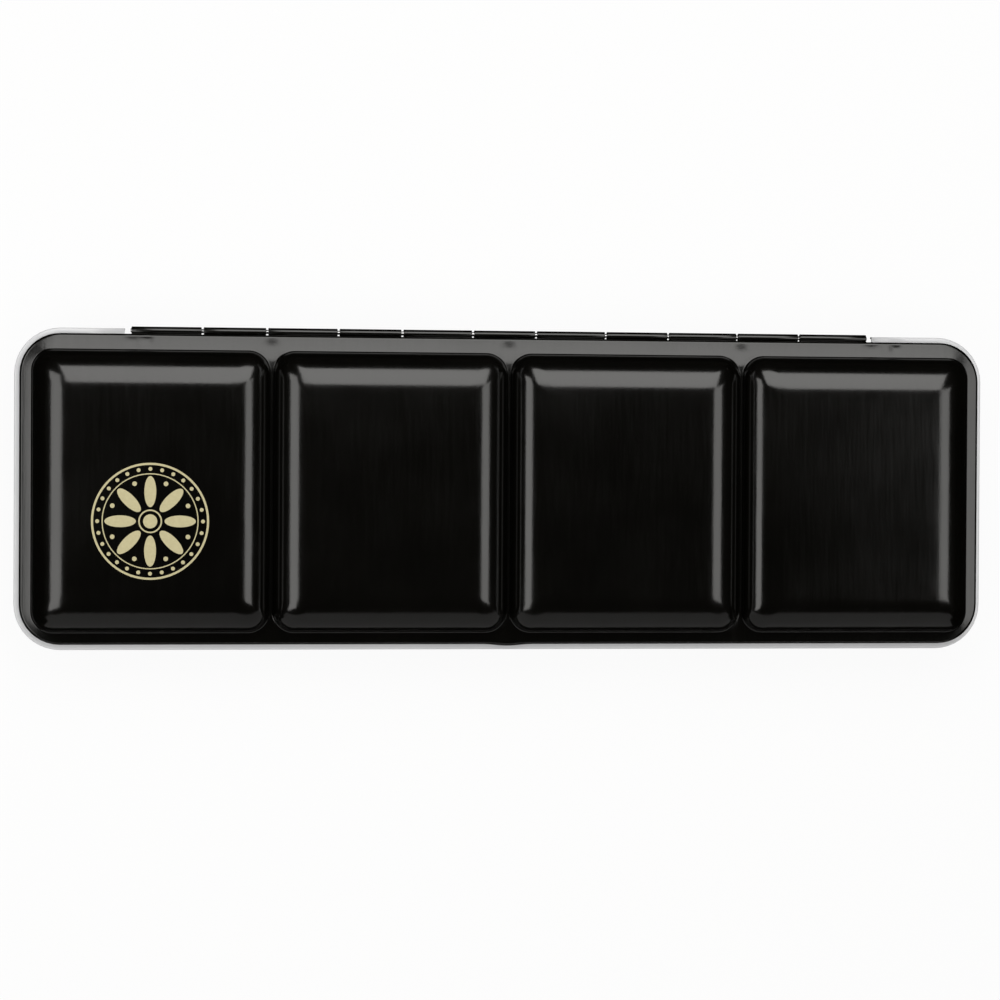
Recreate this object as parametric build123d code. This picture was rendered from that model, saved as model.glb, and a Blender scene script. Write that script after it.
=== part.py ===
from build123d import *
import os
from math import cos, radians, sin, tan

# A pressed-tin watercolour box, closed: a flanged tray with clip racks for small
# paint pans, a lid pressed with mixing wells, and a folding thumb ring underneath.
# X runs along the box, -Y is the front, +Z is up, and Z = 0 is what it stands on.

# Tinplate
sheet = 0.4
edge_round = 0.3

# Lid: a flat border with a turned-down lip, and mixing wells pressed upwards
lid_length = 210.0
lid_depth = 66.7
lid_corner = 8.7
lid_border = 2.8
lid_lip = 2.25
lid_edge_round = 0.7
well_count = 4
well_groove = 1.0
well_height = 6.6
well_shoulder = 6.2
well_foot_corner = 4.5
well_crown_corner = 1.0
well_foot_round = 0.45
well_foot_steps = 2
well_steps = 6

# Tray: a drawn pan with a flange that shows round the lid
flange_margin = 1.25
flange_width = 3.55
flange_hem = 1.2
tray_height = 14.0
tray_draft = 1.5
tray_foot_round = 1.2
foot_width = 2.6
panel_recess = 2.6
panel_draft = 20.0
closing_gap = 0.15

# Hinge: knuckles rolled from the two sheets round one wire
hinge_offset = 0.78
hinge_centre = -0.8
pin_radius = 0.45
bore_clearance = 0.05
knuckle_sheet = 0.35
lid_knuckle = 14.9
tray_knuckle = 13.35
lid_knuckle_count = 6
knuckle_gap = 0.5
hinge_relief = 1.5
knuckle_swing_gap = 0.35
pin_overhang = 0.2

# Catch: the lip springs over a boss on the front flange
catch_length = 11.0
catch_bulge = 0.35
boss_length = 6.0
boss_width = 1.2
boss_height = 1.3
catch_clearance = 0.4

# Pan racks: two folded strips with spring fingers, one pan to each pair. They take the
# room between the walls and a channel for the brushes, which leaves rows for 19 mm pans.
brush_channel = 15.6
pan_pitch = 16.4
rack_end_clearance = 1.5
rack_wall_clearance = 3.05
finger_width = 12.4
finger_straight = 4.6
finger_nip_height = 6.3
finger_height = 8.0
finger_nip = 0.35
finger_flare = 0.5
rack_window_length = 9.0
rack_window_width = 8.0

# Rivets
rivet_radius = 1.2
rivet_clearance = 0.03
rivet_head_radius = 2.1
rivet_head = 0.4
rivet_head_bevel = 0.18

# Thumb ring: a wire loop under a strap
ring_wire = 1.0
ring_clearance = 0.06
ring_bar_half = 8.6
ring_far_half = 12.0
ring_edge_gap = 3.5
ring_bar_bend = 2.2
ring_far_bend = 9.5
ring_split = 0.4
strap_length = 12.0
strap_reach = 6.4
strap_rivet_reach = 4.1

# Worked out from the sizes above
flange_top = tray_height
lip_bottom = flange_top + closing_gap
border_top = lip_bottom + lid_lip
border_under = border_top - sheet
lid_top = border_top + well_height
well_length = (lid_length - 2 * lid_border - (well_count - 1) * well_groove) / well_count
well_depth = lid_depth - 2 * lid_border
well_pitch = well_length + well_groove
tray_length = lid_length + 2 * flange_margin
tray_depth = lid_depth + 2 * flange_margin
tray_corner = lid_corner + flange_margin
mouth_length = tray_length - 2 * flange_width
mouth_depth = tray_depth - 2 * flange_width
mouth_corner = tray_corner - flange_width
draft_run = tray_height * tan(radians(tray_draft))
panel_length = mouth_length + 2 * (sheet - draft_run - foot_width)
panel_depth = mouth_depth + 2 * (sheet - draft_run - foot_width)
panel_corner = mouth_corner - foot_width + sheet
floor_top = panel_recess + sheet
knuckle_bore = pin_radius + bore_clearance
knuckle_radius = knuckle_bore + knuckle_sheet
axis_y = lid_depth / 2 + hinge_offset
axis_z = flange_top - sheet + knuckle_radius
tray_knuckle_count = lid_knuckle_count - 1
hinge_length = (
    lid_knuckle_count * lid_knuckle
    + tray_knuckle_count * tray_knuckle
    + 2 * tray_knuckle_count * knuckle_gap
)
knuckle_pitch = lid_knuckle + tray_knuckle + 2 * knuckle_gap
notch_length = hinge_length + 2 * hinge_relief
notch_start = axis_y - knuckle_radius - knuckle_swing_gap
row_width = mouth_depth / 2 - rack_wall_clearance - brush_channel / 2 - 2 * sheet
rack_y = mouth_depth / 2 - rack_wall_clearance - sheet - row_width / 2
pans_in_row = int((mouth_length - 2 * draft_run - 2 * rack_end_clearance) / pan_pitch)
rack_length = pans_in_row * pan_pitch
ring_z = panel_recess - ring_clearance - ring_wire
ring_reach = panel_depth / 2 - ring_edge_gap - ring_wire
rack_rivet_x = rack_length / 2 - pan_pitch


def rounded_plate(length, depth, corner, low, high):
    """A flat plate with rounded corners between two heights."""
    outline = Pos(0, 0, low) * RectangleRounded(length, depth, corner)
    return extrude(outline, amount=high - low)


def drawn_block(length, depth, corner, top, height, draft):
    """A block that narrows downwards from its top, as a drawn tray does."""
    mouth = Plane(origin=(0, 0, top), z_dir=(0, 0, -1)) * RectangleRounded(length, depth, corner)
    return extrude(mouth, amount=height, taper=draft)


def across_hinge(profile, width, centre_x):
    """A YZ profile run along the hinge over one knuckle's width."""
    plane = Plane(origin=(centre_x - width / 2, 0, 0), x_dir=(0, 1, 0), z_dir=(1, 0, 0))
    return extrude(plane * profile, amount=width)


def spread(count, pitch):
    """Centres of a row of like features along X."""
    return [(index - (count - 1) / 2) * pitch for index in range(count)]


def box_between(low, high):
    """A block from its lowest to its highest corner."""
    size = [b - a for a, b in zip(low, high)]
    return Pos(*low) * Box(*size, align=(Align.MIN, Align.MIN, Align.MIN))


def pressed_well(length, depth, shoulder, foot_corner, foot_round, base):
    """A mixing well's form: a small flare at the foot, then a quarter ellipse to the top."""
    profile = []
    for step in range(well_foot_steps):
        turn = radians(90 * step / well_foot_steps)
        profile.append((-foot_round * (1 - sin(turn)), foot_round * (1 - cos(turn))))
    for step in range(well_steps + 1):
        turn = radians(90 * step / well_steps)
        rise = foot_round + (well_height - foot_round) * sin(turn)
        profile.append((shoulder * (1 - cos(turn)), rise))
    sections = []
    for inset, rise in profile:
        corner = foot_corner + (well_crown_corner - foot_corner) * inset / shoulder
        outline = RectangleRounded(length - 2 * inset, depth - 2 * inset, corner)
        sections.append(Pos(0, 0, base + rise) * outline)
    return loft(sections, ruled=True)


def catch_lens(reach, low, high):
    """The shallow bulge in the lid's front lip, as a segment of a large circle."""
    half = catch_length / 2
    face = -(reach + catch_bulge)
    edge = ThreePointArc((-half, -reach), (0, face), (half, -reach))
    back = Polyline((half, -reach), (half, -reach + sheet), (-half, -reach + sheet), (-half, -reach))
    return extrude(Pos(0, 0, low) * make_face(edge + back), amount=high - low)


def make_lid():
    """The pressed lid with its wells, lip, catch bulge and rolled knuckles."""
    shell = rounded_plate(lid_length, lid_depth, lid_corner, lip_bottom, border_top)
    shell = fillet(shell.edges().group_by(Axis.Z)[-1], lid_edge_round)
    shell += catch_lens(lid_depth / 2, lip_bottom, border_top - lid_edge_round)
    hollow = rounded_plate(
        lid_length - 2 * sheet, lid_depth - 2 * sheet, lid_corner - sheet, lip_bottom, border_under
    )
    hollow = fillet(hollow.edges().group_by(Axis.Z)[-1], lid_edge_round - sheet)
    hollow += catch_lens(lid_depth / 2 - sheet, lip_bottom, border_under - lid_edge_round)
    shell -= hollow
    for x in spread(well_count, well_pitch):
        shell += Pos(x, 0, 0) * pressed_well(
            well_length, well_depth, well_shoulder, well_foot_corner, well_foot_round, border_top
        )
    for x in spread(well_count, well_pitch):
        shell -= Pos(x, 0, 0) * pressed_well(
            well_length - 2 * sheet,
            well_depth - 2 * sheet,
            well_shoulder - sheet,
            well_foot_corner - sheet,
            well_foot_round + sheet,
            border_under,
        )
    notch_top = border_top - lid_edge_round
    shell -= box_between(
        (hinge_centre - notch_length / 2, lid_depth / 2 - 2 * sheet, lip_bottom - sheet),
        (hinge_centre + notch_length / 2, axis_y + knuckle_radius, notch_top),
    )
    lip_in, lip_out = lid_depth / 2 - sheet, lid_depth / 2
    wrap_in = axis_y - knuckle_radius
    strip = make_face(
        Polyline(
            (lip_in, border_under),
            (lip_out, notch_top),
            (wrap_in + knuckle_sheet, axis_z),
            (wrap_in, axis_z),
            close=True,
        )
    )
    barrel = Pos(axis_y, axis_z) * Circle(knuckle_radius)
    bore = Pos(axis_y, axis_z) * Circle(knuckle_bore)
    for x in spread(lid_knuckle_count, knuckle_pitch):
        shell += across_hinge(strip + barrel - bore, lid_knuckle, hinge_centre + x)
    return shell


def make_tray():
    """The drawn tray: flange, foot ring, raised floor, catch boss and knuckles."""
    height = tray_height
    body = drawn_block(
        mouth_length + 2 * sheet, mouth_depth + 2 * sheet, mouth_corner + sheet,
        flange_top, height, tray_draft,
    )
    body = fillet(body.edges().group_by(Axis.Z)[0], tray_foot_round)
    hollow = drawn_block(
        mouth_length, mouth_depth, mouth_corner, flange_top, height - sheet, tray_draft
    )
    hollow = fillet(hollow.edges().group_by(Axis.Z)[0], tray_foot_round - sheet)
    body -= hollow
    hem = rounded_plate(
        tray_length, tray_depth, tray_corner, flange_top - flange_hem, flange_top
    )
    hem = fillet(hem.edges().group_by(Axis.Z)[-1], edge_round)
    hem -= rounded_plate(
        tray_length - 2 * sheet, tray_depth - 2 * sheet, tray_corner - sheet,
        flange_top - flange_hem, flange_top - sheet,
    )
    hem -= rounded_plate(
        mouth_length, mouth_depth, mouth_corner, flange_top - flange_hem, flange_top
    )
    body += hem
    recess = extrude(
        RectangleRounded(panel_length, panel_depth, panel_corner),
        amount=panel_recess, taper=panel_draft,
    )
    panel = extrude(
        RectangleRounded(panel_length + 2 * sheet, panel_depth + 2 * sheet, panel_corner + sheet),
        amount=floor_top, taper=panel_draft,
    )
    body = body + panel - recess
    body -= box_between(
        (hinge_centre - notch_length / 2, notch_start, flange_top - flange_hem - sheet),
        (hinge_centre + notch_length / 2, axis_y + knuckle_radius, flange_top + sheet),
    )
    tab = make_face(
        Polyline(
            (notch_start - sheet, flange_top - sheet), (axis_y, flange_top - sheet),
            (axis_y, flange_top), (notch_start - sheet, flange_top), close=True,
        )
    )
    barrel = Pos(axis_y, axis_z) * Circle(knuckle_radius)
    bore = Pos(axis_y, axis_z) * Circle(knuckle_bore)
    for x in spread(tray_knuckle_count, knuckle_pitch):
        body += across_hinge(tab + barrel - bore, tray_knuckle, hinge_centre + x)
    boss_y = lid_depth / 2 - sheet + catch_bulge - catch_clearance - boss_width / 2
    boss = extrude(
        Pos(0, -boss_y, flange_top) * SlotOverall(boss_length, boss_width), amount=boss_height
    )
    body += chamfer(boss.edges().group_by(Axis.Z)[-1], edge_round)
    holes = [Pos(x, y, 0) for x, y in rack_rivet_places() + strap_rivet_places()]
    for place in holes:
        body -= place * Cylinder(rivet_radius + rivet_clearance, 2 * floor_top)
    return body


def rack_rivet_places():
    """Two rivets for each pan rack, on the row's centre line."""
    return [(x, y) for x in (-rack_rivet_x, rack_rivet_x) for y in (-rack_y, rack_y)]


def strap_rivet_places():
    """One rivet each side of the thumb ring's bar."""
    return [(0, -strap_rivet_reach), (0, strap_rivet_reach)]


def make_rack(y):
    """A folded strip whose spring fingers nip the pans of one row."""
    half = row_width / 2
    floor = Pos(0, y, floor_top) * Box(
        rack_length, row_width + 2 * sheet, sheet, align=(Align.CENTER, Align.CENTER, Align.MIN)
    )
    for x in spread(pans_in_row, pan_pitch):
        if abs(abs(x) - rack_rivet_x) > pan_pitch:
            floor -= Pos(x, y, floor_top) * Box(rack_window_length, rack_window_width, 4 * sheet)
    middle = half + sheet / 2
    spine = Polyline(
        (middle, sheet / 2),
        (middle, finger_straight),
        (middle - finger_nip, finger_nip_height),
        (middle + finger_flare, finger_height),
    )
    finger = trace(spine, line_width=sheet)
    for x in spread(pans_in_row, pan_pitch):
        plane = Plane(
            origin=(x - finger_width / 2, y, floor_top), x_dir=(0, 1, 0), z_dir=(1, 0, 0)
        )
        blade = extrude(plane * finger, amount=finger_width)
        floor += blade
        floor += mirror(blade, about=Plane(origin=(0, y, 0), z_dir=(0, 1, 0)))
    for rivet_x in (-rack_rivet_x, rack_rivet_x):
        floor -= Pos(rivet_x, y, floor_top) * Cylinder(rivet_radius + rivet_clearance, 4 * sheet)
    return floor


def make_rivet(x, y, low, high):
    """A tubular rivet that clamps sheets between two heights."""
    shank = Pos(x, y, low) * Cylinder(
        rivet_radius, high - low, align=(Align.CENTER, Align.CENTER, Align.MIN)
    )
    head = Pos(x, y, high) * Cylinder(
        rivet_head_radius, rivet_head, align=(Align.CENTER, Align.CENTER, Align.MIN)
    )
    head = chamfer(head.edges().group_by(Axis.Z)[-1], rivet_head_bevel)
    clench = Pos(x, y, low - rivet_head) * Cylinder(
        rivet_head_radius, rivet_head, align=(Align.CENTER, Align.CENTER, Align.MIN)
    )
    clench = chamfer(clench.edges().group_by(Axis.Z)[0], rivet_head_bevel)
    return shank + head + clench


def make_strap():
    """The strap that holds the thumb ring's bar against the floor."""
    hump = Pos(0, ring_z) * Circle(ring_wire + ring_clearance + sheet)
    hump += Pos(0, (ring_z + panel_recess) / 2) * Rectangle(
        2 * (ring_wire + ring_clearance + sheet), panel_recess - ring_z
    )
    hump += Pos(0, panel_recess - sheet / 2) * Rectangle(2 * strap_reach, sheet)
    hump -= Pos(0, ring_z) * Circle(ring_wire + ring_clearance)
    hump -= Pos(0, (ring_z + panel_recess) / 2) * Rectangle(
        2 * (ring_wire + ring_clearance), panel_recess - ring_z
    )
    keep = Pos(0, ring_z) * Rectangle(2 * strap_reach, 2 * (panel_recess - ring_z))
    strap = across_hinge(hump & (keep + Pos(0, ring_z) * Circle(2 * ring_wire)), strap_length, 0)
    strap &= box_between(
        (-strap_length, -strap_reach, 0), (strap_length, strap_reach, panel_recess)
    )
    for x, y in strap_rivet_places():
        strap -= Pos(x, y, panel_recess) * Cylinder(rivet_radius + rivet_clearance, 4 * sheet)
    return strap


def make_ring():
    """The thumb ring: one bent wire whose ends meet under the strap."""
    path = FilletPolyline(
        (ring_split / 2, 0, ring_z),
        (ring_bar_half, 0, ring_z),
        (ring_far_half, -ring_reach, ring_z),
        (-ring_far_half, -ring_reach, ring_z),
        (-ring_bar_half, 0, ring_z),
        (-ring_split / 2, 0, ring_z),
        radius=[ring_bar_bend, ring_far_bend, ring_far_bend, ring_bar_bend],
    )
    return sweep(Plane(origin=path @ 0, z_dir=path % 0) * Circle(ring_wire), path=path)


def make_pin():
    """The hinge wire, through all the knuckles."""
    length = hinge_length + 2 * pin_overhang
    start = (hinge_centre - length / 2, axis_y, axis_z)
    pin = Plane(origin=start, z_dir=(1, 0, 0)) * Circle(pin_radius)
    return extrude(pin, amount=length)


def gather(solids):
    """Like pieces kept as separate solids in one node."""
    return Compound(children=list(solids))


nodes = {
    "lid": make_lid(),
    "tray": make_tray(),
    "hinge_pin": make_pin(),
    "front_pan_rack": make_rack(-rack_y),
    "rear_pan_rack": make_rack(rack_y),
    "rack_rivets": gather(
        make_rivet(x, y, panel_recess, floor_top + sheet) for x, y in rack_rivet_places()
    ),
    "ring_strap": make_strap(),
    "strap_rivets": gather(
        make_rivet(x, y, panel_recess - sheet, floor_top) for x, y in strap_rivet_places()
    ),
    "thumb_ring": make_ring(),
}

os.makedirs("parts", exist_ok=True)
for name, shape in nodes.items():
    export_step(shape, f"parts/{name}.step")
    print(name, len(shape.solids()), round(shape.volume, 1))
print("lid axis", axis_y, axis_z, "lid top", lid_top, "ring axis", ring_z)
print("wells", well_length, well_depth, spread(well_count, well_pitch))
print("rows", rack_y, row_width, rack_length, "floor", floor_top)
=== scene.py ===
from math import cos, pi, radians, sin, tan

import bmesh
import bpy
from mathutils import Matrix, Vector


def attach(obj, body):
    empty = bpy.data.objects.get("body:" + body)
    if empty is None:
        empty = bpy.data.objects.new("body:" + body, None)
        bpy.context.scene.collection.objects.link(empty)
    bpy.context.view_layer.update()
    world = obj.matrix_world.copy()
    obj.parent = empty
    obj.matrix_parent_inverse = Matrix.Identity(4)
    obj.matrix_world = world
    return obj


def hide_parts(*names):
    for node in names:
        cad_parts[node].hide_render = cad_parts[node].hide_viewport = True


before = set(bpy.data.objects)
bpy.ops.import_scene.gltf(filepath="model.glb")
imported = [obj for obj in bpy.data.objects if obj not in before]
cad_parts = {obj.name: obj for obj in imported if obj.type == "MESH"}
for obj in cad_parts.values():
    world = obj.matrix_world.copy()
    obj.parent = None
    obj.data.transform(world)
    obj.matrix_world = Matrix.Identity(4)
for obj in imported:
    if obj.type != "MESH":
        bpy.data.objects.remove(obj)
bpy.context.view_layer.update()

# Tray. One sheet of tinplate, drawn into a shallow pan with a turned-down flange,
# white enamel on the paint side and black lacquer outside. Its floor is pressed up
# inside a flat foot, and the back flange is cut away for the hinge. Sizes in mm.
sheet = 0.4
tray_length, tray_depth, tray_corner, least_corner = 212.5, 69.2, 9.95, 1.2
tray_height = 14.0
flange_width, flange_hem, flange_edge = 3.55, 1.2, 0.35
mouth_round = 0.8
tray_draft = radians(1.5)
floor_round = 0.9
foot_width, floor_rise, rise_slope = 2.6, 2.6, radians(20)
foot_bend = [(-0.3, 0.0), (0.05, 0.25)]
floor_bend = [(-0.1, -0.3), (0.3, -0.02), (3.0, 0.0)]
hinge_centre, hinge_notch, tray_notch_y = -0.8, 164.15, 32.93
# Two loops at one height bridge askew, so one of them stands off by loop_step. Cuts snap to
# points within cut_snap and reach cut_room past what they cut, and weld joins doubles.
loop_step, cut_snap, cut_room, weld = 0.01, 1e-5, 1, 1e-4
metres = 0.001
# The press's soft marks in the lid's border: each one's place and radius, and their height.
lacquer_marks = [(x, y, 2.8) for x in (-51.35, 0.0, 51.35) for y in (-31.2, 30.3)]
lacquer_marks += [(-81.0, 31.6, 2.6), (-78.0, 31.9, 2.0), (80.5, 31.6, 2.8), (86.0, 31.8, 2.0)]
marks_height = 16.2


def turns(sweep, steps, first=0, start=0):
    """Angles that step from a start to a sweep, both given in degrees."""
    return [radians(start + (sweep - start) * step / steps) for step in range(first, steps + 1)]


def outline(bm, length, depth, corner, height, centre=(0.0, 0.0), steps=10):
    """A loop of edges round a rectangle with round corners, at one height."""
    sides = bmesh.ops.create_grid(bm, x_segments=1, y_segments=1, size=0.5)["verts"]
    bmesh.ops.scale(bm, vec=(length, depth, 1), verts=sides)
    bmesh.ops.translate(bm, vec=(centre[0], centre[1], height), verts=sides)
    rounded = bmesh.ops.bevel(
        bm, geom=sides, offset=corner, affect="VERTICES", segments=steps, profile=0.5,
        material=-1, clamp_overlap=False,
    )
    face = rounded["verts"][0].link_faces[0]
    edges = list(face.edges)
    bmesh.ops.delete(bm, geom=[face], context="FACES_ONLY")
    return edges


def skin(bm, loops):
    """Bridges a stack of loops into one surface and returns the last loop."""
    for lower, upper in zip(loops, loops[1:]):
        bmesh.ops.bridge_loops(bm, edges=lower + upper)
    return loops[-1]


def cut_away(bm, low, high):
    """Cuts a box-shaped notch out of a sheet's faces."""
    for axis in range(3):
        for value in (low[axis], high[axis]):
            normal = [0, 0, 0]
            normal[axis] = 1
            place = [0, 0, 0]
            place[axis] = value
            met = [f for f in bm.faces if overlaps(f, low, high)]
            geom = list({g for f in met for g in [f, *f.edges, *f.verts]})
            if geom:
                bmesh.ops.bisect_plane(bm, geom=geom, plane_co=place, plane_no=normal, dist=cut_snap)
    gone = [f for f in bm.faces if inside(f.calc_center_median(), low, high)]
    bmesh.ops.delete(bm, geom=gone, context="FACES")


def overlaps(face, low, high):
    """Whether a face's box meets another box."""
    for axis in range(3):
        values = [v.co[axis] for v in face.verts]
        if max(values) < low[axis] or min(values) > high[axis]:
            return False
    return True


def inside(point, low, high):
    """Whether a point lies in a box."""
    return all(a < p < b for a, p, b in zip(low, point, high))


def piece(name, bm, body, materials, replaces=()):
    """Turns a mesh in mm into a finished piece in metres that rides on a body."""
    bmesh.ops.scale(bm, vec=(metres, metres, metres), verts=bm.verts)
    mesh = bpy.data.meshes.new(name)
    bm.to_mesh(mesh)
    bm.free()
    made = bpy.data.objects.new(name, mesh)
    bpy.context.scene.collection.objects.link(made)
    for material in materials:
        mesh.materials.append(material)
    mesh.shade_smooth()
    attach(made, body)
    if replaces:
        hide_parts(*replaces)
    return made


def thicken(made, thickness, offset, other_side=0, edge=0):
    """Gives a sheet its thickness, with another finish on its other side."""
    wall = made.modifiers.new("wall", "SOLIDIFY")
    wall.thickness = thickness * metres
    wall.offset = offset
    wall.use_even_offset = True
    wall.material_offset = other_side
    wall.material_offset_rim = edge


def finish_nodes(name):
    """A new material with its shader, and a function that adds linked nodes to it."""
    material = bpy.data.materials.new(name)
    material.use_nodes = True
    tree = material.node_tree
    shader = tree.nodes["Principled BSDF"]

    def add(kind, inputs=(), **settings):
        node = tree.nodes.new(kind)
        for key, value in settings.items():
            setattr(node, key, value)
        for socket, value in dict(inputs).items():
            if isinstance(value, bpy.types.NodeSocket):
                tree.links.new(value, node.inputs[socket])
            else:
                node.inputs[socket].default_value = value
        return node

    return material, tree, shader, add


def grain(add, place, scale, detail=3.0, stretch=(1, 1, 1), rough=0.5):
    """Noise in the object's own millimetres, stretched along its axes."""
    scales = [1000 * scale / s for s in stretch]
    mapped = add("ShaderNodeMapping", {"Vector": place, "Scale": scales})
    return add(
        "ShaderNodeTexNoise",
        {"Vector": mapped.outputs[0], "Scale": 1.0, "Detail": detail, "Roughness": rough},
    ).outputs["Fac"]


def spread_to(add, value, low, high, floor=0.3, ceiling=0.7):
    """Maps noise onto a range of values."""
    return add(
        "ShaderNodeMapRange",
        {"Value": value, "From Min": floor, "From Max": ceiling, "To Min": low, "To Max": high},
    ).outputs[0]


def tint(add, value, dark, light):
    """Noise turned into a mix of two colours."""
    mixed = add("ShaderNodeMix", data_type="RGBA")
    tree = mixed.id_data
    tree.links.new(value, mixed.inputs["Factor"])
    mixed.inputs["A"].default_value = (*dark, 1)
    mixed.inputs["B"].default_value = (*light, 1)
    return mixed.outputs["Result"]


def press_marks(add, place, spots, height):
    """Small round hollows that the press left in the sheet, as one height."""
    total = None
    for x, y, radius in spots:
        centre = (x * metres, y * metres, height * metres)
        gap = add("ShaderNodeVectorMath", {0: place, 1: centre}, operation="DISTANCE")
        mark = add(
            "ShaderNodeMapRange",
            {"Value": gap.outputs["Value"], "From Min": 0.0, "From Max": radius * metres,
             "To Min": 1.0, "To Max": 0.0},
            interpolation_type="SMOOTHSTEP",
        ).outputs[0]
        if total is None:
            total = mark
        else:
            total = add("ShaderNodeMath", {0: total, 1: mark}, operation="ADD").outputs[0]
    return total


def black_lacquer():
    """Satin black stoving lacquer: a near-black coat with a fine orange peel and drawn lines."""
    material, tree, shader, add = finish_nodes("black_lacquer")
    place = add("ShaderNodeTexCoord").outputs["Object"]
    cloud = grain(add, place, 0.06)
    lines = grain(add, place, 1.6, stretch=(0.6, 14, 14), detail=4.0)
    peel = grain(add, place, 2.2, detail=2.0)
    tree.links.new(tint(add, cloud, (0.0010, 0.0009, 0.0006), (0.0022, 0.0020, 0.0015)),
                   shader.inputs["Base Color"])
    mixed = add("ShaderNodeMath", {0: cloud, 1: lines}, operation="ADD").outputs[0]
    tree.links.new(spread_to(add, mixed, 0.13, 0.19, floor=0.7, ceiling=1.3),
                   shader.inputs["Roughness"])
    height = add("ShaderNodeMath", {0: peel, 1: lines}, operation="ADD").outputs[0]
    bump = add("ShaderNodeBump", {"Height": height, "Strength": 0.08, "Distance": 0.00006})
    marks = press_marks(add, place, lacquer_marks, marks_height)
    dents = add(
        "ShaderNodeBump",
        {"Height": marks, "Strength": 1.0, "Distance": -0.0001, "Normal": bump.outputs[0]},
    )
    tree.links.new(dents.outputs[0], shader.inputs["Normal"])
    shader.inputs["IOR"].default_value = 1.6
    return material


def white_enamel():
    """Glossy white stoving enamel, a little cold, with a slight flow in its surface."""
    material, tree, shader, add = finish_nodes("white_enamel")
    place = add("ShaderNodeTexCoord").outputs["Object"]
    cloud = grain(add, place, 0.05)
    flow = grain(add, place, 0.7, detail=2.0)
    tree.links.new(tint(add, cloud, (0.70, 0.71, 0.74), (0.78, 0.785, 0.80)),
                   shader.inputs["Base Color"])
    tree.links.new(spread_to(add, flow, 0.14, 0.24), shader.inputs["Roughness"])
    bump = add("ShaderNodeBump", {"Height": flow, "Strength": 0.08, "Distance": 0.0001})
    tree.links.new(bump.outputs[0], shader.inputs["Normal"])
    shader.inputs["Coat Weight"].default_value = 0.3
    shader.inputs["Coat Roughness"].default_value = 0.08
    return material


black = black_lacquer()
white = white_enamel()

profile = [(0.0, tray_height - flange_hem), (0.0, tray_height - flange_edge)]
for turn in turns(90, 4, first=1):
    profile.append((flange_edge * (1 - cos(turn)), tray_height - flange_edge * (1 - sin(turn))))
for turn in turns(90, 6):
    profile.append(
        (flange_width - mouth_round * (1 - sin(turn)),
         tray_height - loop_step - mouth_round * (1 - cos(turn)))
    )
floor_inset = flange_width + tray_height * tan(tray_draft)
for turn in turns(90, 5):
    profile.append(
        (floor_inset + floor_round * (1 - cos(turn)),
         sheet + loop_step + floor_round * (1 - sin(turn)))
    )
rise_start = floor_inset - sheet + foot_width
rise_end = rise_start + floor_rise * tan(rise_slope)
profile += [(rise_start + inset, sheet + rise) for inset, rise in foot_bend]
profile += [(rise_end + inset, sheet + floor_rise + rise) for inset, rise in floor_bend]
bm = bmesh.new()
loops = [
    outline(bm, tray_length - 2 * inset, tray_depth - 2 * inset,
            max(tray_corner - inset, least_corner), height)
    for inset, height in profile
]
middle = skin(bm, loops)
bmesh.ops.contextual_create(bm, geom=middle)
bmesh.ops.remove_doubles(bm, verts=bm.verts, dist=weld)
cut_away(
    bm,
    (hinge_centre - hinge_notch / 2, tray_notch_y, tray_height - flange_hem - cut_room),
    (hinge_centre + hinge_notch / 2, tray_depth, tray_height + cut_room),
)
bmesh.ops.recalc_face_normals(bm, faces=bm.faces)
if max(bm.faces, key=lambda f: f.calc_area()).normal.z < 0:
    bmesh.ops.reverse_faces(bm, faces=bm.faces)
tray = piece("tray_pan", bm, "base", [white, black], ["tray"])
thicken(tray, sheet, -1, other_side=1, edge=1)

# Catch boss. A small rounded boss pressed up in the middle of the front flange, which the
# lid's lip springs over.
boss_length, boss_width, boss_corner = 6.0, 1.2, 0.59
boss_height, boss_edge, boss_sink = 1.3, 0.4, 0.1
boss_place = (0, -32.15)

bm = bmesh.new()
loops = [
    outline(bm, boss_length, boss_width, boss_corner, tray_height - boss_sink, boss_place, steps=6)
]
for turn in turns(90, 4):
    inset = boss_edge * (1 - cos(turn))
    loops.append(
        outline(bm, boss_length - 2 * inset, boss_width - 2 * inset, boss_corner - inset,
                tray_height + boss_height - boss_edge * (1 - sin(turn)), boss_place, steps=6)
    )
bmesh.ops.contextual_create(bm, geom=skin(bm, loops))
bmesh.ops.recalc_face_normals(bm, faces=bm.faces)
piece("catch_boss", bm, "base", [white])

# Hinge knuckles. Tabs of the two sheets rolled round one wire, five from the tray between six
# from the lid, black like the outside of the box.
axis_y, axis_z = 34.13, 14.45
knuckle_mid, knuckle_wall, knuckle_break = 0.675, 0.35, 0.07
knuckle_roll = radians(322)
lid_knuckle, tray_knuckle, knuckle_gap = 14.9, 13.35, 0.5
lid_knuckle_count, tray_knuckle_count = 6, 5
knuckle_pitch = lid_knuckle + tray_knuckle + 2 * knuckle_gap


def soften(made, width):
    """Breaks a piece's sharp edges."""
    edge = made.modifiers.new("edges", "BEVEL")
    edge.width = width * metres
    edge.segments = 2
    edge.limit_method = "ANGLE"
    edge.angle_limit = radians(35)
    edge.harden_normals = False


def pull(bm, edges, step):
    """Draws edges out by one step and returns the new edges."""
    made = bmesh.ops.extrude_edge_only(bm, edges=edges)["geom"]
    fresh = {g for g in made if isinstance(g, bmesh.types.BMVert)}
    bmesh.ops.translate(bm, vec=step, verts=list(fresh))
    return [
        g for g in made
        if isinstance(g, bmesh.types.BMEdge) and set(g.verts) <= fresh
    ]


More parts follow.
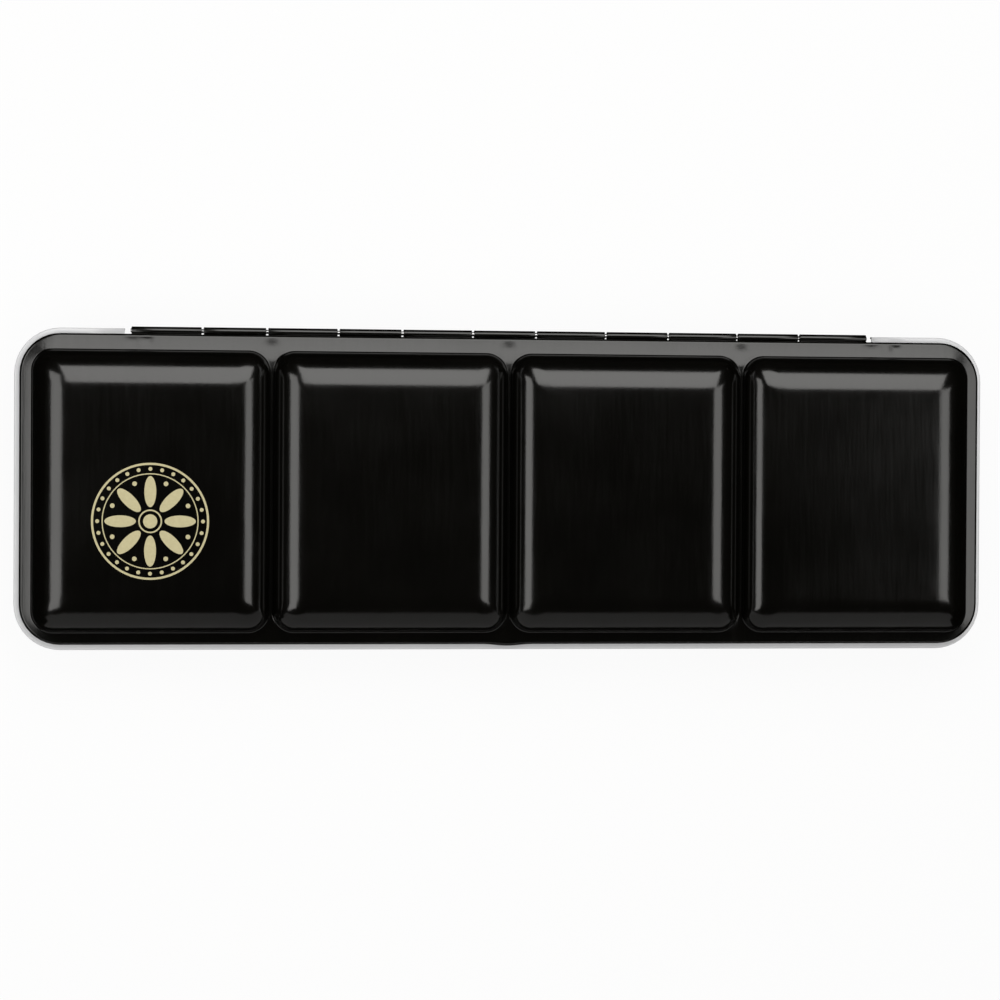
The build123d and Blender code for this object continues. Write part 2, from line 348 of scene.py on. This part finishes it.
def rolled_knuckle(bm, centre_x, width, start, tab):
    """A tab that comes from its sheet and rolls round the hinge wire, from a start angle."""
    start_y = axis_y + knuckle_mid * cos(start)
    start_z = axis_z + knuckle_mid * sin(start)
    ends = [bm.verts.new((centre_x + side * width / 2, start_y, start_z)) for side in (-1, 1)]
    first = bm.edges.new(ends)
    bmesh.ops.spin(
        bm, geom=[first, *ends], cent=(0, axis_y, axis_z), axis=(1, 0, 0), angle=knuckle_roll,
        steps=26, use_duplicate=False,
    )
    pull(bm, [first], tab)


def spread(count, pitch):
    """Centres of a row of like pieces."""
    return [(index - (count - 1) / 2) * pitch for index in range(count)]


bm = bmesh.new()
for x in spread(tray_knuckle_count, knuckle_pitch):
    rolled_knuckle(
        bm, hinge_centre + x, tray_knuckle, radians(-90), (0, tray_notch_y - axis_y, 0)
    )
bmesh.ops.remove_doubles(bm, verts=bm.verts, dist=weld)
bmesh.ops.recalc_face_normals(bm, faces=bm.faces)
knuckles = piece("tray_knuckles", bm, "base", [black])
thicken(knuckles, knuckle_wall, 0)
soften(knuckles, knuckle_break)

# Hinge wire. One drawn steel wire, pushed through all eleven knuckles with a running gap. It
# is a little longer than their row, and its ends have a broken edge.
wire_radius, wire_length, wire_break = 0.45, 161.55, 0.1


def steel_wire():
    """Bright drawn wire: fine lines along it and a few duller places."""
    material, tree, shader, add = finish_nodes("steel_wire")
    place = add("ShaderNodeTexCoord").outputs["Object"]
    cloud = grain(add, place, 0.25)
    lines = grain(add, place, 6.0, detail=4.0)
    tree.links.new(tint(add, cloud, (0.50, 0.50, 0.51), (0.66, 0.66, 0.66)),
                   shader.inputs["Base Color"])
    tree.links.new(spread_to(add, lines, 0.16, 0.30), shader.inputs["Roughness"])
    bump = add("ShaderNodeBump", {"Height": lines, "Strength": 0.15, "Distance": 0.00004})
    tree.links.new(bump.outputs[0], shader.inputs["Normal"])
    shader.inputs["Metallic"].default_value = 1.0
    return material


def wire_end(bm, radius, place, segments=24):
    """A round wire's end, which faces along X, as a loop of edges."""
    turn = Matrix.Translation(place) @ Matrix.Rotation(pi / 2, 4, "Y")
    made = bmesh.ops.create_circle(bm, segments=segments, radius=radius, matrix=turn)["verts"]
    return list({e for v in made for e in v.link_edges})


wire = steel_wire()
bm = bmesh.new()
first = wire_end(bm, wire_radius, (hinge_centre - wire_length / 2, axis_y, axis_z))
last = pull(bm, first, (wire_length, 0, 0))
for end in (first, last):
    bmesh.ops.contextual_create(bm, geom=end)
bmesh.ops.recalc_face_normals(bm, faces=bm.faces)
pin = piece("hinge_wire", bm, "base", [wire], ["hinge_pin"])
soften(pin, wire_break)

# Pan racks. Two bent strips of bare tinplate on the tray's floor, each with twelve pairs of
# spring fingers that nip in and flare at their tips, and windows between the fingers.
rack_floor = sheet + floor_rise
rack_y, pan_count, pan_pitch = 17.9, 12, 16.4
rack_half, finger_width, finger_bend = 9.9, 12.4, 0.6
window_length, window_width = 9.0, 8.0
# A finger's line above its bend, out from the rack's side and up from the rack's underside.
finger_line = [(0.0, 4.6), (-0.08, 5.3), (-0.28, 6.0), (-0.32, 6.35), (-0.24, 6.7), (0.05, 7.3),
               (0.42, 7.95)]
finger_corner, rack_break, tolerance = 1.8, 0.08, 1e-3
rack_rivet_x, rivet_room = pan_pitch * (pan_count / 2 - 1), 1.0


def tinplate():
    """Bare tinplate: bright, with fine rolling lines along the strip and small scuffs."""
    material, tree, shader, add = finish_nodes("tinplate")
    place = add("ShaderNodeTexCoord").outputs["Object"]
    cloud = grain(add, place, 0.12)
    lines = grain(add, place, 3.0, stretch=(20, 0.7, 0.7), detail=4.0)
    scuffs = grain(add, place, 0.9, detail=6.0, rough=0.75)
    tree.links.new(tint(add, cloud, (0.58, 0.58, 0.57), (0.74, 0.735, 0.72)),
                   shader.inputs["Base Color"])
    mixed = add("ShaderNodeMath", {0: lines, 1: scuffs}, operation="ADD").outputs[0]
    tree.links.new(spread_to(add, mixed, 0.22, 0.42, floor=0.7, ceiling=1.3),
                   shader.inputs["Roughness"])
    bump = add("ShaderNodeBump", {"Height": mixed, "Strength": 0.12, "Distance": 0.00005})
    tree.links.new(bump.outputs[0], shader.inputs["Normal"])
    shader.inputs["Metallic"].default_value = 1.0
    shader.inputs["Anisotropic"].default_value = 0.4
    return material


def follow(bm, edges, path):
    """Draws edges out along a path of places across and up, and returns the last edges."""
    for (y, z), (next_y, next_z) in zip(path, path[1:]):
        edges = pull(bm, edges, (0, next_y - y, next_z - z))
    return edges


def cut_across(bm, axis, value):
    """Cuts the whole sheet by a plane across one axis."""
    place, normal = [0, 0, 0], [0, 0, 0]
    place[axis], normal[axis] = value, 1
    geom = [*bm.faces, *bm.edges, *bm.verts]
    bmesh.ops.bisect_plane(bm, geom=geom, plane_co=place, plane_no=normal, dist=cut_snap)


def pan_rack(name, replaced, centre_y):
    """One rack: a floor with windows, and a finger each side of every pan."""
    middle = rack_floor + sheet / 2
    edge = rack_half - finger_bend
    pans = spread(pan_count, pan_pitch)
    bm = bmesh.new()
    corners = bmesh.ops.create_grid(bm, x_segments=1, y_segments=1, size=0.5)["verts"]
    bmesh.ops.scale(bm, vec=(pan_count * pan_pitch, 2 * edge, 1), verts=corners)
    bmesh.ops.translate(bm, vec=(0, centre_y, middle), verts=corners)
    for x in pans:
        for half in (-finger_width, -window_length, window_length, finger_width):
            cut_across(bm, 0, x + half / 2)
    for side in (-1, 1):
        cut_across(bm, 1, centre_y + side * window_width / 2)
    open_pans = [x for x in pans if abs(abs(x) - rack_rivet_x) > rivet_room]
    windows = [
        f for f in bm.faces for x in open_pans
        if abs(f.calc_center_median().x - x) < window_length / 2
        and abs(f.calc_center_median().y - centre_y) < window_width / 2
    ]
    bmesh.ops.delete(bm, geom=windows, context="FACES")
    path = [
        (edge + finger_bend * sin(turn), middle + finger_bend * (1 - cos(turn)))
        for turn in turns(90, 4)
    ]
    path += [(rack_half + out, rack_floor + up) for out, up in finger_line]
    tips = []
    for side in (-1, 1):
        rim = [e for e in bm.edges if e.is_boundary
               and all(abs(v.co.y - centre_y - side * edge) < tolerance for v in e.verts)]
        for x in pans:
            blade = [e for e in rim
                     if abs((e.verts[0].co.x + e.verts[1].co.x) / 2 - x) < finger_width / 2]
            last = follow(bm, blade, [(side * y, z) for y, z in path])
            tips += [v for e in last for v in e.verts
                     if abs(abs(v.co.x - x) - finger_width / 2) < tolerance]
    bmesh.ops.bevel(
        bm, geom=tips, offset=finger_corner, affect="VERTICES", segments=5, profile=0.5,
        material=-1,
    )
    bmesh.ops.remove_doubles(bm, verts=bm.verts, dist=weld)
    bmesh.ops.recalc_face_normals(bm, faces=bm.faces)
    rack = piece(name, bm, "base", [tin], [replaced])
    thicken(rack, sheet, 0)
    soften(rack, rack_break)


tin = tinplate()
pan_rack("front_rack", "front_pan_rack", -rack_y)
pan_rack("rear_rack", "rear_pan_rack", rack_y)

# Rivets. Plated tubular rivets, domed inside the box and rolled over underneath: four through
# the racks and the floor, and two through the floor and the ring's strap.
rivet_head_radius, rivet_shank, rivet_head = 2.1, 1.2, 0.4
roll_inner, tube_bore, bore_depth = 0.72, 0.66, 0.3
strap_rivet_y = 4.1


def plated_rivet():
    """Nickel plate on small rivets, a little brushed."""
    material, tree, shader, add = finish_nodes("plated_rivet")
    place = add("ShaderNodeTexCoord").outputs["Object"]
    scuffs = grain(add, place, 2.5, detail=5.0)
    tree.links.new(tint(add, scuffs, (0.62, 0.60, 0.57), (0.76, 0.75, 0.72)),
                   shader.inputs["Base Color"])
    tree.links.new(spread_to(add, scuffs, 0.15, 0.30), shader.inputs["Roughness"])
    bump = add("ShaderNodeBump", {"Height": scuffs, "Strength": 0.1, "Distance": 0.00004})
    tree.links.new(bump.outputs[0], shader.inputs["Normal"])
    shader.inputs["Metallic"].default_value = 1.0
    return material


def rivet(bm, x, y, low, high):
    """One rivet between two heights: a dome above, and a rolled tube end below."""
    line = [
        (rivet_head_radius * sin(turn), high + rivet_head * cos(turn)) for turn in turns(90, 7)
    ]
    line += [(rivet_shank, high), (rivet_shank, low)]
    roll_middle = (rivet_head_radius + roll_inner) / 2
    roll_half = (rivet_head_radius - roll_inner) / 2
    line += [
        (roll_middle + roll_half * cos(turn), low - rivet_head * sin(turn))
        for turn in turns(180, 8)
    ]
    line += [(tube_bore, low + bore_depth), (0, low + bore_depth)]
    chain = [bm.verts.new((x + out, y, z)) for out, z in line]
    edges = [bm.edges.new(pair) for pair in zip(chain, chain[1:])]
    bmesh.ops.spin(
        bm, geom=[*chain, *edges], cent=(x, y, 0), axis=(0, 0, 1), angle=2 * pi, steps=28,
        use_merge=True, use_duplicate=False,
    )


def rivets(name, replaced, places, low, high):
    """A set of like rivets as one piece."""
    bm = bmesh.new()
    for x, y in places:
        rivet(bm, x, y, low, high)
    bmesh.ops.remove_doubles(bm, verts=bm.verts, dist=tolerance)
    bmesh.ops.recalc_face_normals(bm, faces=bm.faces)
    piece(name, bm, "base", [plate], [replaced])


plate = plated_rivet()
corners = [(x, y) for x in (-rack_rivet_x, rack_rivet_x) for y in (-rack_y, rack_y)]
rivets("pan_rack_rivets", "rack_rivets", corners, floor_rise, rack_floor + sheet)
rivets("thumb_strap_rivets", "strap_rivets", [(0, -strap_rivet_y), (0, strap_rivet_y)],
       floor_rise - sheet, rack_floor)

# Thumb ring. A tinplate strap, riveted under the floor, holds the bar of one bent steel wire,
# which folds flat under the box and swings out for the thumb.
ring_wire, ring_z, ring_gap = 1.0, 1.54, 0.06
strap_length, strap_reach, strap_bend = 12.0, 6.4, 0.5
strap_corner, strap_break = 1.5, 0.08
bar_half, far_half, ring_reach = 8.6, 12.0, 23.983
bar_bend, far_bend, wire_split = 2.2, 9.5, 0.4

hump = ring_wire + ring_gap + sheet / 2
strap_z = floor_rise - sheet / 2
wing = [(-strap_reach, strap_z)]
for turn in turns(90, 4):
    wing.append((-hump - strap_bend * (1 - sin(turn)), strap_z - strap_bend * (1 - cos(turn))))
arch = [(-hump * cos(turn), ring_z - hump * sin(turn)) for turn in turns(180, 12)]
path = wing + arch + [(-y, z) for y, z in reversed(wing)]
bm = bmesh.new()
ends = [bm.verts.new((side * strap_length / 2, *path[0])) for side in (-1, 1)]
last = follow(bm, [bm.edges.new(ends)], path)
tips = [*ends, *{v for e in last for v in e.verts}]
bmesh.ops.bevel(
    bm, geom=tips, offset=strap_corner, affect="VERTICES", segments=5, profile=0.5, material=-1,
)
bmesh.ops.remove_doubles(bm, verts=bm.verts, dist=weld)
bmesh.ops.recalc_face_normals(bm, faces=bm.faces)
strap = piece("thumb_strap", bm, "base", [tin], ["ring_strap"])
thicken(strap, sheet, 0)
soften(strap, strap_break)


def bend(bm, edges, centre, angle, steps=14):
    """Bends a wire on round a centre and returns its new end."""
    geom = [*edges, *{v for e in edges for v in e.verts}]
    made = bmesh.ops.spin(
        bm, geom=geom, cent=centre, axis=(0, 0, 1), angle=angle, steps=steps, use_duplicate=False,
    )["geom_last"]
    return [g for g in made if isinstance(g, bmesh.types.BMEdge)]


bm = bmesh.new()
slant = Vector((far_half - bar_half, -ring_reach, 0))
bar_turn = slant.angle(Vector((1, 0, 0)))
far_turn = pi - bar_turn
bar_short, far_short = bar_bend * tan(bar_turn / 2), far_bend * tan(far_turn / 2)
side_run = slant.normalized() * (slant.length - bar_short - far_short)
back_run = Vector((side_run.x, -side_run.y, 0))
bar_centre = Vector((bar_half - bar_short, -bar_bend, ring_z))
far_centre = Vector((far_half - far_short, -ring_reach + far_bend, ring_z))
first = wire_end(bm, ring_wire, (wire_split / 2, 0, ring_z))
end = pull(bm, first, (bar_half - bar_short - wire_split / 2, 0, 0))
end = bend(bm, end, bar_centre, -bar_turn)
end = pull(bm, end, side_run)
end = bend(bm, end, far_centre, -far_turn)
end = pull(bm, end, (-2 * (far_half - far_short), 0, 0))
end = bend(bm, end, (-far_centre.x, far_centre.y, ring_z), -far_turn)
end = pull(bm, end, back_run)
end = bend(bm, end, (-bar_centre.x, bar_centre.y, ring_z), -bar_turn)
end = pull(bm, end, (bar_half - bar_short - wire_split / 2, 0, 0))
for cap in (first, end):
    bmesh.ops.contextual_create(bm, geom=cap)
bmesh.ops.remove_doubles(bm, verts=bm.verts, dist=weld)
bmesh.ops.recalc_face_normals(bm, faces=bm.faces)
piece("ring_wire", bm, "thumb_ring", [wire], ["thumb_ring"])

# Lid. One sheet pressed into four mixing wells, which stand up as pillows on the closed box,
# with a narrow border and a turned-down lip. Black lacquer outside, white enamel in the wells.
lid_length, lid_depth, lid_corner = 210.0, 66.7, 8.7
lip_low, lip_edge, lip_turn, border_z, border_droop = 14.15, 0.7, 87, 16.4, 0.03
well_count, well_length, well_depth, well_pitch, well_y = 4, 50.35, 60.3, 51.35, -0.4
well_shoulder, well_height, well_foot_round, well_foot_start = 8.1, 6.5, 0.45, 9
well_foot_corner, well_crown_corner = 4.5, 1.0
# The last rings of a well's crown, in from its shoulder and up from its top.
crown = [(1.2, 0.02), (4.0, 0.04)]
notch_reach, tab_drop = 0.8, 0.45
catch_half, catch_bulge, catch_cuts = 5.5, 0.35, 7

bm = bmesh.new()
loops = [
    outline(bm, lid_length, lid_depth, lid_corner, lip_low),
    outline(bm, lid_length, lid_depth, lid_corner, border_z - lip_edge - border_droop),
]
for turn in turns(lip_turn, 6, first=1):
    inset = lip_edge * (1 - cos(turn))
    loops.append(
        outline(bm, lid_length - 2 * inset, lid_depth - 2 * inset, lid_corner - inset,
                border_z - border_droop - lip_edge * (1 - sin(turn)))
    )
border_edges = list(skin(bm, loops))
stack = []
for turn in turns(90, 5, start=well_foot_start)[:-1]:
    stack.append((-well_foot_round * (1 - sin(turn)), well_foot_round * (1 - cos(turn))))
for turn in turns(90, 16):
    rise = well_foot_round + (well_height - well_foot_round) * sin(turn)
    stack.append((well_shoulder * (1 - cos(turn)), rise))
stack += [(well_shoulder + inset, well_height + rise) for inset, rise in crown]
for x in spread(well_count, well_pitch):
    loops = []
    for inset, rise in stack:
        share = min(inset / well_shoulder, 1)
        corner = well_foot_corner + (well_crown_corner - well_foot_corner) * share
        loops.append(
            outline(bm, well_length - 2 * inset, well_depth - 2 * inset, corner, border_z + rise,
                    (x, well_y))
        )
    border_edges += loops[0]
    bmesh.ops.contextual_create(bm, geom=skin(bm, loops))
bmesh.ops.triangle_fill(bm, use_beauty=True, edges=border_edges, normal=(0, 0, 1))
bmesh.ops.remove_doubles(bm, verts=bm.verts, dist=weld)
cut_away(
    bm,
    (hinge_centre - hinge_notch / 2, lid_depth / 2 - notch_reach, lip_low - cut_room),
    (hinge_centre + hinge_notch / 2, lid_depth, border_z - lip_edge - border_droop),
)
for x in [catch_half * step / catch_cuts for step in range(-catch_cuts, catch_cuts + 1)]:
    front = [f for f in bm.faces if max(v.co.y for v in f.verts) < notch_reach - lid_depth / 2]
    geom = list({g for f in front for g in [f, *f.edges, *f.verts]})
    bmesh.ops.bisect_plane(bm, geom=geom, plane_co=(x, 0, 0), plane_no=(1, 0, 0), dist=cut_snap)
for v in bm.verts:
    if abs(v.co.x) < catch_half and v.co.y < lip_edge - lid_depth / 2:
        share = 1 - (v.co.y + lid_depth / 2) / lip_edge
        v.co.y -= catch_bulge * share * cos(v.co.x / catch_half * pi / 2) ** 2
bmesh.ops.recalc_face_normals(bm, faces=bm.faces)
if max(bm.faces, key=lambda f: f.calc_area()).normal.z < 0:
    bmesh.ops.reverse_faces(bm, faces=bm.faces)
lid = piece("lid_shell", bm, "lid", [black, white], ["lid"])
thicken(lid, sheet, -1, other_side=1)

bm = bmesh.new()
for x in spread(lid_knuckle_count, knuckle_pitch):
    rolled_knuckle(
        bm, hinge_centre + x, lid_knuckle, radians(180),
        (0, lid_depth / 2 - sheet / 2 - (axis_y - knuckle_mid), border_z - tab_drop - axis_z),
    )
bmesh.ops.remove_doubles(bm, verts=bm.verts, dist=weld)
bmesh.ops.recalc_face_normals(bm, faces=bm.faces)
knuckles = piece("lid_knuckles", bm, "lid", [black], ["lid"])
thicken(knuckles, knuckle_wall, 0)
soften(knuckles, knuckle_break)

# Printed ornament. A pale gold rosette in a ring of dots, printed on the lid's left well with
# matt ink over the lacquer.
print_place, print_lift = (-77.0, -6.7), 22.955
ring_radius, ring_width = 12.4, 0.45
dot_count, dot_ring, dot_radius = 28, 11.1, 0.42
petal_count, petal_middle, petal_length, petal_width = 8, 6.3, 3.3, 1.25
inner_ring, inner_line = 10.176, 0.225
seed_ring, seed_radius = 8.6, 0.5
eye_radius, eye_ring, eye_line = 1.5, 2.5, 0.3


def gold_print():
    """Matt pale gold ink with a fine mottle, a little thin in places."""
    material, tree, shader, add = finish_nodes("gold_print")
    place = add("ShaderNodeTexCoord").outputs["Object"]
    mottle = grain(add, place, 1.8, detail=4.0)
    tree.links.new(tint(add, mottle, (0.44, 0.39, 0.22), (0.56, 0.51, 0.30)),
                   shader.inputs["Base Color"])
    tree.links.new(spread_to(add, mottle, 0.38, 0.55), shader.inputs["Roughness"])
    bump = add("ShaderNodeBump", {"Height": mottle, "Strength": 0.1, "Distance": 0.00003})
    tree.links.new(bump.outputs[0], shader.inputs["Normal"])
    return material


def printed_spot(bm, radius, out, turn, stretch=1.0, segments=24):
    """A round or long spot of print, out from the middle at an angle."""
    middle = Matrix.Translation((*print_place, print_lift))
    place = middle @ Matrix.Rotation(turn, 4, "Z") @ Matrix.Translation((out, 0, 0))
    spot = place @ Matrix.Diagonal((stretch, 1, 1, 1))
    return bmesh.ops.create_circle(
        bm, cap_ends=True, segments=segments, radius=radius, matrix=spot)["verts"]


def printed_ring(bm, radius, width):
    """A thin printed ring round the middle."""
    loops = [printed_spot(bm, r, 0, 0, segments=72) for r in (radius, radius - width)]
    bmesh.ops.delete(bm, geom=[v.link_faces[0] for v in (loops[0][0], loops[1][0])],
                     context="FACES_ONLY")
    edges = {e for loop in loops for v in loop for e in v.link_edges}
    bmesh.ops.bridge_loops(bm, edges=list(edges))


bm = bmesh.new()
printed_ring(bm, ring_radius, ring_width)
printed_ring(bm, inner_ring, inner_line)
for index in range(dot_count):
    printed_spot(bm, dot_radius, dot_ring, 2 * pi * index / dot_count, segments=12)
for index in range(petal_count):
    turn = 2 * pi * index / petal_count
    printed_spot(bm, petal_width, petal_middle, turn, petal_length / petal_width, segments=32)
    printed_spot(bm, seed_radius, seed_ring, turn + pi / petal_count, segments=12)
printed_spot(bm, eye_radius, 0, 0)
printed_ring(bm, eye_ring, eye_line)
bmesh.ops.recalc_face_normals(bm, faces=bm.faces)
for face in bm.faces:
    if face.normal.z < 0:
        face.normal_flip()
piece("gold_rosette", bm, "lid", [gold_print()])

# Studio. A white paper cove, strip soft boxes to the left, right and back and a fill lamp in
# front. Cards and a mat that only reflections see keep the lacquer's steep walls dark, and
# the camera looks straight down. Sizes here are in metres, and the sensor's in millimetres.
paper_share = 0.93
cove_middle, cove_floor, cove_round, cove_wall = 1.0, 5.0, 1.0, 1.2
card_black, card_dim, card_grey, mat_rise = 0.004, 0.02, 0.45, 0.0002
world_light = 0.01
lamp_colour = (1.0, 0.99, 0.965)
camera_place, camera_turn = (-0.06022, 0.00397, 0.550), (-0.665, -6.244, 0.324)
sensor_width, focal_pixels, picture_pixels = 36.0, 2466.4, 1000


def paper_white():
    """White paper, which shows as its own white in the background and in reflections."""
    material, tree, shader, add = finish_nodes("studio_paper")
    shader.inputs["Base Color"].default_value = (0.8, 0.8, 0.8, 1)
    shader.inputs["Roughness"].default_value = 0.9
    glow = add("ShaderNodeEmission", {"Color": (1, 1, 1, 1), "Strength": 1.0})
    rays = add("ShaderNodeLightPath").outputs
    seen = add("ShaderNodeMath", {0: rays["Is Camera Ray"], 1: rays["Is Glossy Ray"]},
               operation="ADD", use_clamp=True)
    seen = add("ShaderNodeMath", {0: seen.outputs[0], 1: rays["Is Transmission Ray"]},
               operation="ADD", use_clamp=True)
    share = add("ShaderNodeMath", {0: seen.outputs[0], 1: paper_share}, operation="MULTIPLY")
    both = add("ShaderNodeMixShader", {0: share.outputs[0]})
    tree.links.new(shader.outputs[0], both.inputs[1])
    tree.links.new(glow.outputs[0], both.inputs[2])
    tree.links.new(both.outputs[0], tree.nodes["Material Output"].inputs["Surface"])
    return material


def stage_piece(name, bm, material):
    """A piece of the studio, which is no part of the object."""
    mesh = bpy.data.meshes.new(name)
    bm.to_mesh(mesh)
    bm.free()
    mesh.materials.append(material)
    mesh.shade_smooth()
    made = bpy.data.objects.new(name, mesh)
    bpy.context.scene.collection.objects.link(made)
    return made


bm = bmesh.new()
line = [(0.0, 0.0), (cove_middle, 0.0), (cove_floor, 0.0)]
for turn in turns(90, 8, first=1):
    line.append((cove_floor + cove_round * sin(turn), cove_round * (1 - cos(turn))))
line.append((cove_floor + cove_round, cove_wall))
chain = [bm.verts.new((out, 0, z)) for out, z in line]
edges = [bm.edges.new(pair) for pair in zip(chain, chain[1:])]
bmesh.ops.spin(
    bm, geom=[*chain, *edges], cent=(0, 0, 0), axis=(0, 0, 1), angle=2 * pi, steps=64,
    use_merge=True, use_duplicate=False,
)
bmesh.ops.remove_doubles(bm, verts=bm.verts, dist=weld)
bmesh.ops.recalc_face_normals(bm, faces=bm.faces)
if min(bm.faces, key=lambda f: f.calc_center_median().length).normal.z < 0:
    bmesh.ops.reverse_faces(bm, faces=bm.faces)
stage_piece("studio_cove", bm, paper_white())

world = bpy.data.worlds.new("studio")
bpy.context.scene.world = world
world.use_nodes = True
world.node_tree.nodes["Background"].inputs["Color"].default_value = (1, 1, 1, 1)
world.node_tree.nodes["Background"].inputs["Strength"].default_value = world_light


def card(name, middle, length, height, turn, grey, flat=False):
    """A card that stands beside the object or lies under it, seen by its reflections only."""
    material, _, shader, _ = finish_nodes(name)
    shader.inputs["Base Color"].default_value = (grey, grey, grey, 1)
    shader.inputs["Roughness"].default_value = 1.0
    shader.inputs["Specular IOR Level"].default_value = 0.0
    bm = bmesh.new()
    tilt = 0.0 if flat else pi / 2
    rise = mat_rise if flat else height / 2
    place = Matrix.Translation((*middle, rise)) @ Matrix.Rotation(turn, 4, "Z")
    place = place @ Matrix.Rotation(tilt, 4, "X") @ Matrix.Diagonal((length, height, 1, 1))
    bmesh.ops.create_grid(bm, x_segments=1, y_segments=1, size=0.5, matrix=place)
    made = stage_piece(name, bm, material)
    made.visible_camera = made.visible_diffuse = made.visible_shadow = False


card("left_card", (-0.142, 0.02), 0.28, 0.045, pi / 2, card_black)
card("right_card", (0.142, 0.02), 0.28, 0.045, pi / 2, card_black)
card("front_card", (0.0, -0.095), 0.34, 0.09, 0.0, card_grey)
card("back_card", (0.0, 0.135), 0.30, 0.05, 0.0, card_dim)
card("mat", (0.0, 0.02), 0.30, 0.24, 0.0, card_black, flat=True)


def soft_box(name, side, near, far, distance, length, shift, glow):
    """A strip soft box on one side, which spans two angles from overhead as the object sees it."""
    half, middle = radians((far - near) / 2), radians((far + near) / 2)
    place = Vector((side[0] * sin(middle), side[1] * sin(middle), cos(middle)))
    lamp = bpy.data.lights.new(name, "AREA")
    lamp.shape = "RECTANGLE"
    lamp.size, lamp.size_y = length, 2 * distance * sin(half)
    lamp.energy = glow * pi * lamp.size * lamp.size_y
    lamp.color = lamp_colour
    box = bpy.data.objects.new(name, lamp)
    bpy.context.scene.collection.objects.link(box)
    box.location = place * distance * cos(half) + Vector(shift)
    box.rotation_mode = "QUATERNION"
    box.rotation_quaternion = (-place).to_track_quat("-Z", "Y")
    box.visible_camera = False
    return box


soft_box("left_box", (-1, 0), 35.5, 56, 0.30, 0.26, (0, 0, 0), 2.4)
soft_box("right_box", (1, 0), 27.5, 47, 0.80, 0.34, (0, 0, 0), 2.2)
soft_box("back_box", (0, 1), 14.5, 53.5, 0.45, 0.44, (0.05, 0, 0), 2.9)
fill = soft_box("fill_box", (0, -1), 0, 50, 0.90, 1.2, (0, 0, 0), 1.3)
fill.visible_glossy = False

camera_data = bpy.data.cameras.new("camera")
camera_data.sensor_width = sensor_width
camera_data.lens = focal_pixels * sensor_width / picture_pixels
camera = bpy.data.objects.new("camera", camera_data)
bpy.context.scene.collection.objects.link(camera)
camera.location = camera_place
camera.rotation_euler = [radians(turn) for turn in camera_turn]
bpy.context.scene.camera = camera
bpy.context.scene.view_settings.view_transform = "Standard"
